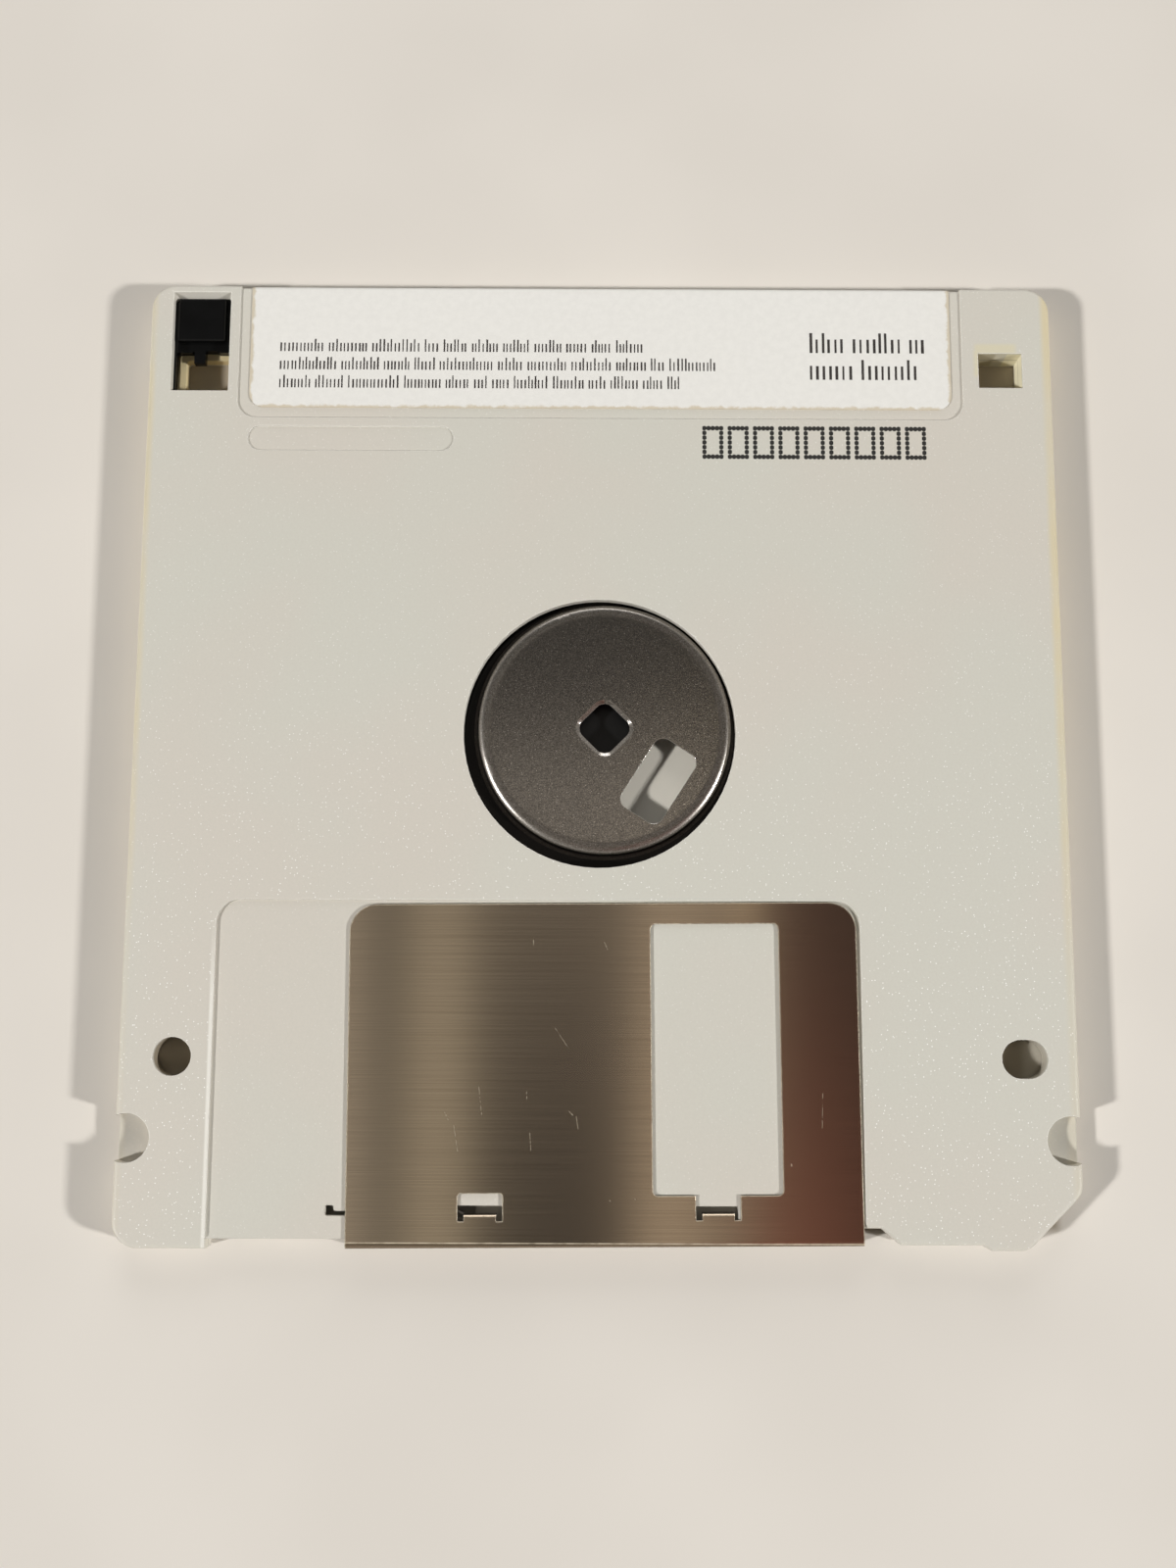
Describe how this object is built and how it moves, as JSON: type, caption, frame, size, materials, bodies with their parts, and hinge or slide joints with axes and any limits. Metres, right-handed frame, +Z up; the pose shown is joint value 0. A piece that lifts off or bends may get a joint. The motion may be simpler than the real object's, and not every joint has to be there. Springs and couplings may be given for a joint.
{
  "type": "floppy disk",
  "caption": "Flat plastic 3.5 inch data disk cartridge with a sprung sliding metal shutter, a write protect slide and a steel drive hub.",
  "frame": {"origin": "bottom centre of the bounding box: under the middle of the case, on the surface that it lies on", "axes": "+Z up, out of the hub side; +Y towards the labelled back edge, away from the shutter; +X to the right as seen from the hub side"},
  "size_m": [0.09, 0.094, 0.0033],
  "materials": {
    "case_plastic": "warm light grey moulded plastic with a fine sparking grain, yellowed along its side edges",
    "shutter_steel": "stainless sheet, brushed along its width",
    "hub_steel": "stamped steel with a fine grainy face and a bright rim",
    "spring_steel": "plain spring wire",
    "slide_plastic": "black moulded plastic, smooth",
    "film": "very dark brown magnetic coating, burnished",
    "liner_cloth": "white non-woven cloth",
    "bond_film": "thin adhesive film",
    "pad_plastic": "black low-friction plastic",
    "lifter_plastic": "thin clear polyester leaf",
    "label_paper": "white paper, yellowed and slightly torn along its edges"
  },
  "bodies": {
    "case": {"lower_shell": "case_plastic", "upper_shell": "case_plastic", "shutter_spring": "spring_steel", "upper_liner": "liner_cloth", "lower_liner": "liner_cloth", "liner_lifter": "lifter_plastic", "centre_wear_pad": "pad_plastic", "label": "label_paper"},
    "shutter": {"shutter": "shutter_steel"},
    "disk": {"magnetic_film": "film", "hub": "hub_steel", "hub_bond_ring": "bond_film"},
    "write_protect_slide": {"write_protect_slide": "slide_plastic"}
  },
  "joints": [
    {"name": "shutter_slide", "type": "slide", "parent": "case", "child": "shutter", "axis": [-1, 0, 0], "range_m": [0, 0.0106], "stiffness_N_per_m": 45, "springref_m": -0.008, "deforming": ["shutter_spring"]},
    {"name": "disk_spin", "type": "hinge", "parent": "case", "child": "disk", "pos_m": [0.00048, 0.00195, 0.00162], "axis": [0, 0, 1], "continuous": true},
    {"name": "write_protect_move", "type": "slide", "parent": "case", "child": "write_protect_slide", "axis": [0, -1, 0], "range_m": [0, 0.0047]}
  ]
}
